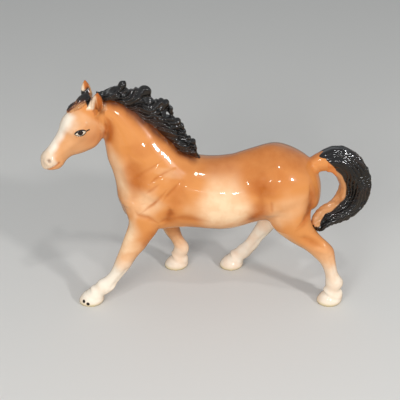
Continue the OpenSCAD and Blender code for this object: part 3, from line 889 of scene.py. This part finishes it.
# ---- Hair: mane, forelock and tail ----
TAIL_LINE = [(53.9, 0, 79.5), (59.9, 0, 84.1), (65.9, 0, 86.7), (72.4, 0, 87.3),
             (79.1, 0, 82), (82.9, 0, 74), (83.3, -0.5, 67), (80.3, -2, 60.5),
             (75.5, -4, 57.1), (69.9, -6.5, 54.9), (65.1, -9.5, 52.1), (62.7, -11.5, 47.5)]
TAIL_STRANDS = 22       # strands round the tail
TAIL_RELIEF = 0.6       # how high they stand
TAIL_HOLE = (66, 70)    # the middle of the open air that the tail's arch holds
TAN_EDGE = [(62.3, 51.1), (63.3, 54.4), (65.9, 57.9), (70.6, 60.4), (74.4, 63.2),
            (77.4, 66.6), (77.5, 70.3), (76.3, 75.9), (73.1, 81.4), (69.2, 84.1),
            (64.5, 85.5)]                        # where the tan round it ends
DOCK_EDGE = [(58, 93), (60.6, 90.6), (63.3, 89.6), (66, 88.7), (68.8, 86.9), (70.5, 84.3),
             (72, 80)]                           # where the bare dock meets the hair
HAIRLINE = [(-63, 125.5), (-57, 126.2), (-50.5, 124.6), (-46.2, 121.8), (-40.3, 118.9),
            (-35.8, 113.6), (-27.6, 110.3), (-20.8, 103.2), (-16.7, 97.1), (-11, 93.9),
            (-2, 91.4)]                      # where the mane grows out of the neck
MANE_TOP = [(-64.5, 128.6), (-58, 130.6), (-49.5, 132.6), (-41.4, 131.4), (-35.6, 131.6),
            (-31.5, 126.6), (-26.2, 123.6), (-21.9, 116), (-16.2, 109.2), (-14, 104),
            (-8.6, 98.6), (-4.5, 93.8), (0, 90.6)]         # where its locks end
MANE_SWEEP = 17         # how far back the strands sweep from their roots to their tips
STRAND_WIDE = 3.3       # from strand to strand in the mane
FORELOCK_EDGE = [(-77.2, 119.2), (-74.6, 121.5), (-72.5, 123.5), (-67.5, 125.3), (-66.2, 122.6),
                 (-64.9, 125.2), (-61.6, 130.5)]   # lower edge of its black
FLICK = (-46.8, 133.6)  # the lock that stands up behind the poll
HAIR_CLOSING = 0.7      # gaps narrower than twice this are filled

# Rolls of clay that end the locks or fill a gap, as places and the radii at both ends.
MANE_ROLLS = [
    ([(-49.2, 0, 131.6), (-47.2, 0, 133.0), (-46.4, 0, 134.6)], 1.3, 0.7),
    ([(-39.6, 0, 128.7), (-36.3, 0, 130.7), (-33.6, 0, 129.9), (-33.2, 0, 126.9)], 2.0, 1.1),
    ([(-28.4, 0, 122.7), (-24.6, 0, 122.7), (-22.2, 0, 119.7), (-21.5, 0, 116.7)], 2.2, 1.1),
    ([(-22.1, 0, 112.4), (-18.3, 0, 111.2), (-15.5, 0, 108.1), (-15, 0, 105)], 2.2, 1.0),
    ([(-14.5, 0, 101.2), (-11.2, 0, 100.6), (-8.7, 0, 98.1), (-7.8, 0, 95.5)], 1.8, 0.9),
    ([(-7.3, 0, 94.3), (-5.6, 0, 93.6), (-5, 0, 91.7)], 1.0, 0.7),
]
TAIL_ROLLS = [
    ([(71, -6, 61), (66.5, -7.5, 59.3), (62.6, -9.5, 57), (60.7, -11.6, 53.4),
      (61.3, -12.2, 50)], 2.2, 2.2),
]


def curve_through(places, steps):
    """More points on a smooth curve through the given ones."""
    p = np.array(places, float)
    p = np.vstack([2 * p[0] - p[1], p, 2 * p[-1] - p[-2]])
    found = []
    for a, b, c, d in zip(p[:-3], p[1:-2], p[2:-1], p[3:]):
        for t in np.arange(steps) / steps:
            found.append(0.5 * (2 * b + (c - a) * t + (2 * a - 5 * b + 4 * c - d) * t * t
                                + (3 * b - a - 3 * c + d) * t ** 3))
    return np.array(found + [p[-2]])


def evenly(places, count):
    """Points at even distances on a smooth curve through the given ones."""
    line = curve_through(places, 12)
    run = run_along(line)
    wanted = np.linspace(0, run[-1], count)
    return np.stack([np.interp(wanted, run, line[:, k]) for k in range(line.shape[1])], axis=1)


def roll_of(places, first, last):
    """A roll of clay along a curve, as a row of balls for the remesh to fuse."""
    made = bmesh.new()
    line = evenly(places, 30)
    for place, radius in zip(line, np.linspace(first, last, len(line))):
        bmesh.ops.create_icosphere(made, subdivisions=3, radius=radius * MM,
                                   matrix=Matrix.Translation(at(place)))
    return object_of("roll", made)


def hair_cast(name, node, width, rolls):
    """A casting of hair, with its rolls fused on, its gaps filled and its edges rounded."""
    obj = remeshed(joined(cast_from(name, node), [roll_of(*roll) for roll in rolls]), HAIR_GRAIN)
    for push in (HAIR_CLOSING, -HAIR_CLOSING):
        move_to(obj, points_of(obj) + push * normals_of(obj))
        remeshed(obj, HAIR_GRAIN)
    smooth(obj, width, HAIR_GRAIN)
    return obj


def off_skin(points, tree):
    """The nearest place on the skin, the way out of it there, and the height above it."""
    places, ways = np.empty_like(points), np.empty_like(points)
    for i, point in enumerate(points):
        place, way, _, _ = tree.find_nearest(at(point))
        places[i], ways[i] = place, way
    places = places / MM - ORIGIN
    return places, ways, ((points - places) * ways).sum(1)


def seated(obj, tree):
    """Sinks the rim of a piece of hair a little into the skin that it was luted to."""
    points = points_of(obj)
    _, ways, height = off_skin(points, tree)
    sink = 1.0 * (1 - step(height, 0.15, 1.0))
    move_to(obj, points - ways * sink[:, None])


def strands(across):
    """Round strands side by side, with sharp valleys between them, from -1 to 0.4."""
    return np.abs(np.cos(np.pi * across)) * 1.4 - 1


def on_mane(seen):
    """Where places seen from the side lie on the mane: how far along it, in millimetres
    from the poll, and how far up from the hairline (0) to the tips (1)."""
    count = 60
    root, top = evenly(HAIRLINE, count), evenly(MANE_TOP, count)
    below, above = away(seen, root), away(seen, top)
    middle = 0.5 * (root + top)
    run = run_along(middle)
    gaps = ((seen[:, None, :] - middle[None, :, :]) ** 2).sum(2)
    weight = np.exp(-(gaps - gaps.min(axis=1)[:, None]) / 4)
    along = (weight * run).sum(1) / weight.sum(1)
    nearest = np.argmin(((seen[:, None, :] - root[None, :, :]) ** 2).sum(2), axis=1)
    under = ((seen - root[nearest]) * (top - root)[nearest]).sum(1) < 0
    return along, np.where(under, -below, below) / (below + above)


def comb_mane(obj, tree):
    """Ridges that leave the hairline along the neck and curl up to the tips of the locks."""
    points, normals = points_of(obj), normals_of(obj)
    along, up = on_mane(points[:, [0, 2]])
    _, ways, height = off_skin(points, tree)
    flow = along - MANE_SWEEP * (1 - (1 - np.clip(up, 0, 1)) ** 2)
    flow += 0.9 * np.sin(along / 3.1) * up + 0.5 * ripple(points, 8)
    across = flow / STRAND_WIDE + 3 * (points[:, 1] > 0)
    grown = step(up, 0.04, 0.25) * step(along, 1, 6)
    lift = 0.6 * strands(across) + 0.75 * strands(across / 3.4 + 0.3) + 0.3
    lift = lift * grown + 0.8 * bell(away(points[:, [0, 2]], [FLICK]), 1.6)
    end = step(points[:, 0], -9, -4)
    points = points + normals * (lift * (1 - end))[:, None]
    low = np.maximum(1 - step(up, -0.05, 0.42), end)
    seat = np.clip(height, 0, 4) * low + 0.6 * np.maximum(1 - step(up, 0, 0.2), end)
    points -= ways * (seat * (height > -0.5))[:, None]
    points[:, 2] = np.minimum(points[:, 2], cad_high[2] / MM - 0.1)
    move_to(obj, points)
    patch = step(ripple(points + 11, 9), 0.1, 0.7)
    soft = up + 0.05 * ripple(points, 3)
    paint(obj, "thin", 0.25 * patch * step(strands(across), 0, 0.4))
    paint(obj, "brown", 1 - step(soft, 0.1, 0.4))
    paint(obj, "root", FULL - FULL * step(soft, -0.05, 0.16))


def comb_forelock(obj):
    """Thin strands, black above and fair where the tuft lies on the face."""
    points, normals = points_of(obj), normals_of(obj)
    face = in_head(points)
    across = (face[:, 1] + 0.12 * face[:, 0] + 0.5 * ripple(points, 5)) / 1.5
    up = points[:, 2] - edge_height(FORELOCK_EDGE, points[:, 0]) + 0.5 * ripple(points, 3)
    move_to(obj, points + normals * (0.35 * strands(across))[:, None])
    paint(obj, "thin", 0.25 * step(strands(across), 0, 0.4))
    paint(obj, "brown", 1 - step(up, 1.0, 2.6))
    paint(obj, "root", FULL - FULL * step(up, 0.4, 1.8))
    paint(obj, "fair", FULL - FULL * step(up + 0.8 * strands(across), -0.8, 1.2))


def on_tail(points):
    """How far along the tail points are, in millimetres, and at which angle round it."""
    line = curve_through(TAIL_LINE, 8)
    nearest = np.argmin(((points[:, None, :] - line[None, :, :]) ** 2).sum(2), axis=1)
    ahead = np.gradient(line, axis=0)
    ahead /= np.linalg.norm(ahead, axis=1)[:, None]
    ahead = ahead[nearest]
    spoke = points - line[nearest]
    spoke -= (spoke * ahead).sum(1)[:, None] * ahead
    side = np.cross(ahead, (0, 1, 0))
    return run_along(line)[nearest], np.arctan2(spoke[:, 1], (spoke * side).sum(1))


def in_arch(points):
    """1 on the tan that lines the arch of the tail, and 0 on its black strands."""
    from_hole = points[:, [0, 2]] - TAIL_HOLE
    edges = np.array(TAN_EDGE) - TAIL_HOLE
    angle = np.arctan2(from_hole[:, 1], from_hole[:, 0])
    reach = np.interp(angle, np.arctan2(edges[:, 1], edges[:, 0]), np.hypot(*edges.T))
    inner = step(reach - np.hypot(*from_hole.T) + 0.25 * ripple(points, 3), -0.4, 0.4)
    return inner * step(points[:, 2], 48, 50)


def comb_tail(obj):
    """Strands that run down the tail in waves, out of the bare dock."""
    points, normals = points_of(obj), normals_of(obj)
    along, turn = on_tail(points)
    waves = 0.35 * np.sin(along / 5.5) + 0.25 * np.sin(along / 2.9 + 2 * turn)
    across = TAIL_STRANDS * turn / (2 * np.pi) + 0.09 * along + waves + 0.6 * ripple(points, 7)
    dock_top = edge_height(DOCK_EDGE, points[:, 0])
    dock = step(dock_top - points[:, 2] + 0.2 * ripple(points, 3), -0.3, 0.6)
    dock *= (points[:, 0] < 72) * (points[:, 2] > 79)
    inner = in_arch(points)
    relief = TAIL_RELIEF * strands(across) * (1 - 0.8 * inner)
    relief += 0.35 * strands(across / 3.2) + 0.14 * ripple(points, 1.7)
    relief += 0.16 * np.sin(1.7 * along + 2.3 * across) * (1 - inner)
    lift = relief * step(along - 7 * step(np.abs(turn), 0.6, 2.2), 15, 30)
    lift += np.maximum(1 - dock, step(points[:, 0], 64.5, 67)) - 0.6
    points = points + normals * lift[:, None]
    points[:, 0] = np.minimum(points[:, 0], cad_high[0] / MM - ORIGIN[0])
    move_to(obj, points)
    patch = step(ripple(points, 8), 0.1, 0.7)
    paint(obj, "thin", 0.5 * patch * step(strands(across), 0, 0.4))
    paint(obj, "fair", FULL * inner)
    paint(obj, "dock", FULL * dock)


# ---- Materials ----
def linear(colour):
    """An sRGB hex colour as the linear numbers that a shader takes."""
    parts = [int(colour[i:i + 2], 16) / 255 for i in (1, 3, 5)]
    return [c / 12.92 if c <= 0.04045 else ((c + 0.055) / 1.055) ** 2.4 for c in parts] + [1]


def add(tree, kind, links=None, **settings):
    """Adds a node. A setting or a link is an input's name or number, or the node's own value."""
    made = tree.nodes.new(kind)
    for name, value in settings.items():
        setattr(made, name, value)
    for socket, value in (links or {}).items():
        if isinstance(value, bpy.types.NodeSocket):
            tree.links.new(value, made.inputs[socket])
        else:
            made.inputs[socket].default_value = value
    return made


# Unevenness that a fired glaze shows close up, as sizes in millimetres
CLOUD = 6.25            # patches where the colour under it lies thicker or thinner
GRAIN = 2 / 3           # the fine grain that softens what it mirrors
RUNS = 100 / 9          # slow waves in which it ran before it set
RUN_DEEP = 0.15
CLEAR_IOR = 1.5         # a clear glaze, and one that lies thick on a dark colour
THICK_IOR = 1.6


def noise(tree, size, detail):
    """A noise with patches of about a size in millimetres, fixed to the object."""
    place = add(tree, "ShaderNodeTexCoord").outputs["Object"]
    return add(tree, "ShaderNodeTexNoise", {"Vector": place, "Scale": 1 / (size * MM),
                                            "Detail": detail}).outputs["Fac"]


def glaze(name, colours, coat_ior):
    """Earthenware colours under a clear, fired glaze: glossy, and slightly uneven.
    colours is the base colour and then (attribute, colour) in the order they are laid on."""
    material = bpy.data.materials.new(name)
    material.use_nodes = True
    tree = material.node_tree
    shader = tree.nodes["Principled BSDF"]
    uneven = add(tree, "ShaderNodeMapRange", {
        "Value": noise(tree, CLOUD, 3), "From Min": 0.35, "From Max": 0.65,
        "To Min": 0.82, "To Max": 1.18}).outputs["Result"]
    base, *layers = colours
    colour = linear(base)
    for layer, tint in layers:
        mask = add(tree, "ShaderNodeAttribute", attribute_name=layer).outputs["Fac"]
        laid = add(tree, "ShaderNodeMath", {0: mask, 1: uneven}, operation="MULTIPLY",
                   use_clamp=True).outputs[0]
        colour = add(tree, "ShaderNodeMix", {0: laid, 6: colour, 7: linear(tint)},
                     data_type="RGBA").outputs[2]
    rough = add(tree, "ShaderNodeMapRange", {
        "Value": noise(tree, GRAIN, 2), "To Min": 0.16, "To Max": 0.3}).outputs["Result"]
    bump = add(tree, "ShaderNodeBump", {
        "Height": noise(tree, RUNS, 1), "Strength": 0.25,
        "Distance": RUN_DEEP * MM}).outputs["Normal"]
    for socket, source in (("Base Color", colour), ("Roughness", rough), ("Normal", bump),
                           ("Coat Normal", bump)):
        tree.links.new(source, shader.inputs[socket])
    for socket, value in (("Specular IOR Level", 0.15), ("Coat Weight", 1.0),
                          ("Coat Roughness", 0.03), ("Coat IOR", coat_ior)):
        shader.inputs[socket].default_value = value
    return material


# The base colour, and then the colours that are brushed over it, one after another
SKIN_COLOURS = ["#de924f", ("pale", "#fdd9b0"), ("shade", "#b9611c"), ("deep", "#63300f"),
                ("white", "#fef1de"), ("pink", "#f3d9bd"), ("horn", "#dfcf9f"),
                ("grey", "#a88c76"), ("eye_white", "#e6d6c0"), ("iris", "#1d0d08"),
                ("ink", "#15100e")]
HAIR_COLOURS = ["#0e0b0a", ("thin", "#3a2215"), ("brown", "#2c160b"), ("root", "#5e280d"),
                ("fair", "#c88d5a"), ("dock", "#de8a48")]


def dress(obj, material, node):
    obj.data.materials.clear()
    obj.data.materials.append(material)
    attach(obj, "root")
    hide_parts(node)
    only(obj)
    bpy.ops.object.shade_smooth_by_angle(angle=math.radians(60))


# ---- Making ----
skin = cast_skin()
smooth_skin(skin)
bulked(skin, BULKS)
modelled(skin, BODY_MUSCLES)
modelled(skin, BODY_CREASES)
widen_ears(skin)
refine_details(skin)
model_head(skin)
model_legs(skin)

skin_tree = BVHTree.FromObject(skin, bpy.context.evaluated_depsgraph_get())
mane = hair_cast("glazed_mane", "mane", 0.75, MANE_ROLLS)
forelock = hair_cast("glazed_forelock", "forelock", 0.5, [])
tail = hair_cast("glazed_tail", "tail", 0.8, TAIL_ROLLS)
bulked(mane, MANE_BULKS)
bulked(forelock, FORELOCK_BULKS)
seated(forelock, skin_tree)
comb_mane(mane, skin_tree)
comb_forelock(forelock)
comb_tail(tail)
paint_skin(skin, mane)

# Chestnut glaze is an iron-brown stain, sprayed on white earthenware and fired under a clear
# glaze. The eye gets a warm tan, paler on the swells and deeper in the creases, with small
# sharp reflections of the windows.
# Part of this colour is painted light: shade in the creases, the ears and on the top of the back,
# and highlights on the ears, the brow and the legs.
chestnut = glaze("chestnut_glaze", SKIN_COLOURS, CLEAR_IOR)
# Stocking glaze is the same spray where it fades out below the knees and the hocks, so the
# cream of the clay shows under the glaze.
stocking = glaze("stocking_glaze", SKIN_COLOURS, CLEAR_IOR)
# Black glaze is a black-brown stain that is brushed on thickly. The eye gets near black with
# brown where it thins out on the ridges and at the edges, and many small glints.
black = glaze("black_glaze", HAIR_COLOURS, THICK_IOR)
for name, casting in part_castings(skin).items():
    is_leg = name in LEGS
    dress(casting, stocking if is_leg else chestnut, name)
for name, hair in (("mane", mane), ("forelock", forelock), ("tail", tail)):
    dress(hair, black, name)

# ---- Camera, light and floor ----
# The camera stands where the photo was taken from, by the sizes of the ruler in it.
camera = bpy.data.cameras.new("camera")
camera_object = bpy.data.objects.new("camera", camera)
bpy.context.scene.collection.objects.link(camera_object)
camera.lens = 77.4
camera.sensor_width = 36
camera_object.location = at((-5.8, -424, 326.7))
camera_object.rotation_euler = (math.radians(57.875), 0, 0)
bpy.context.scene.camera = camera_object


HEART = Vector((0, 0, 0.07))     # the middle of the trunk, in metres


def lamp(name, place, size, power):
    """A soft square lamp that looks at the horse; place and size in metres, power in watts."""
    data = bpy.data.lights.new(name, "AREA")
    data.energy = power
    data.size = size
    obj = bpy.data.objects.new(name, data)
    obj.location = place
    obj.rotation_euler = (Vector(place) - HEART).to_track_quat("Z", "Y").to_euler()
    bpy.context.scene.collection.objects.link(obj)
    return obj


# Small windows that the glaze mirrors, and the broad light of the room that it doesn't
lamp("window", (0.6, -0.5, 0.46), 0.075, 2.6)
lamp("ceiling", (0.14, -0.29, 0.89), 0.05, 0.7)
lamp("left_pane", (-0.33, -0.7, 0.44), 0.06, 0.35)
lamp("middle_pane", (0.07, -0.8, 0.41), 0.07, 0.45)
lamp("room", (-0.3, -0.75, 0.4), 0.5, 3.6).visible_glossy = False

bpy.context.scene.view_settings.view_transform = "Standard"
world = bpy.data.worlds.new("studio")
bpy.context.scene.world = world
world.use_nodes = True
sky = world.node_tree.nodes["Background"].inputs
sky["Color"].default_value = linear("#e9eef2")
sky["Strength"].default_value = 0.45

bpy.ops.mesh.primitive_plane_add(size=4, location=(0, 0, 0))
floor = bpy.context.active_object
floor.name = "floor"
# Matt paper is an uncoated sheet without any gloss: an even pale grey to the eye, with soft
# shadows. What it gives back to the object is warmer and darker, as from a wooden table.
paper = bpy.data.materials.new("matt_paper")
paper.use_nodes = True
card = paper.node_tree.nodes["Principled BSDF"].inputs
seen = add(paper.node_tree, "ShaderNodeLightPath").outputs["Is Camera Ray"]
tone = add(paper.node_tree, "ShaderNodeMix", {0: seen, 6: linear("#b5a898"), 7: linear("#dcdad6")},
           data_type="RGBA")
paper.node_tree.links.new(tone.outputs[2], card["Base Color"])
card["Roughness"].default_value = 0.9
floor.data.materials.append(paper)
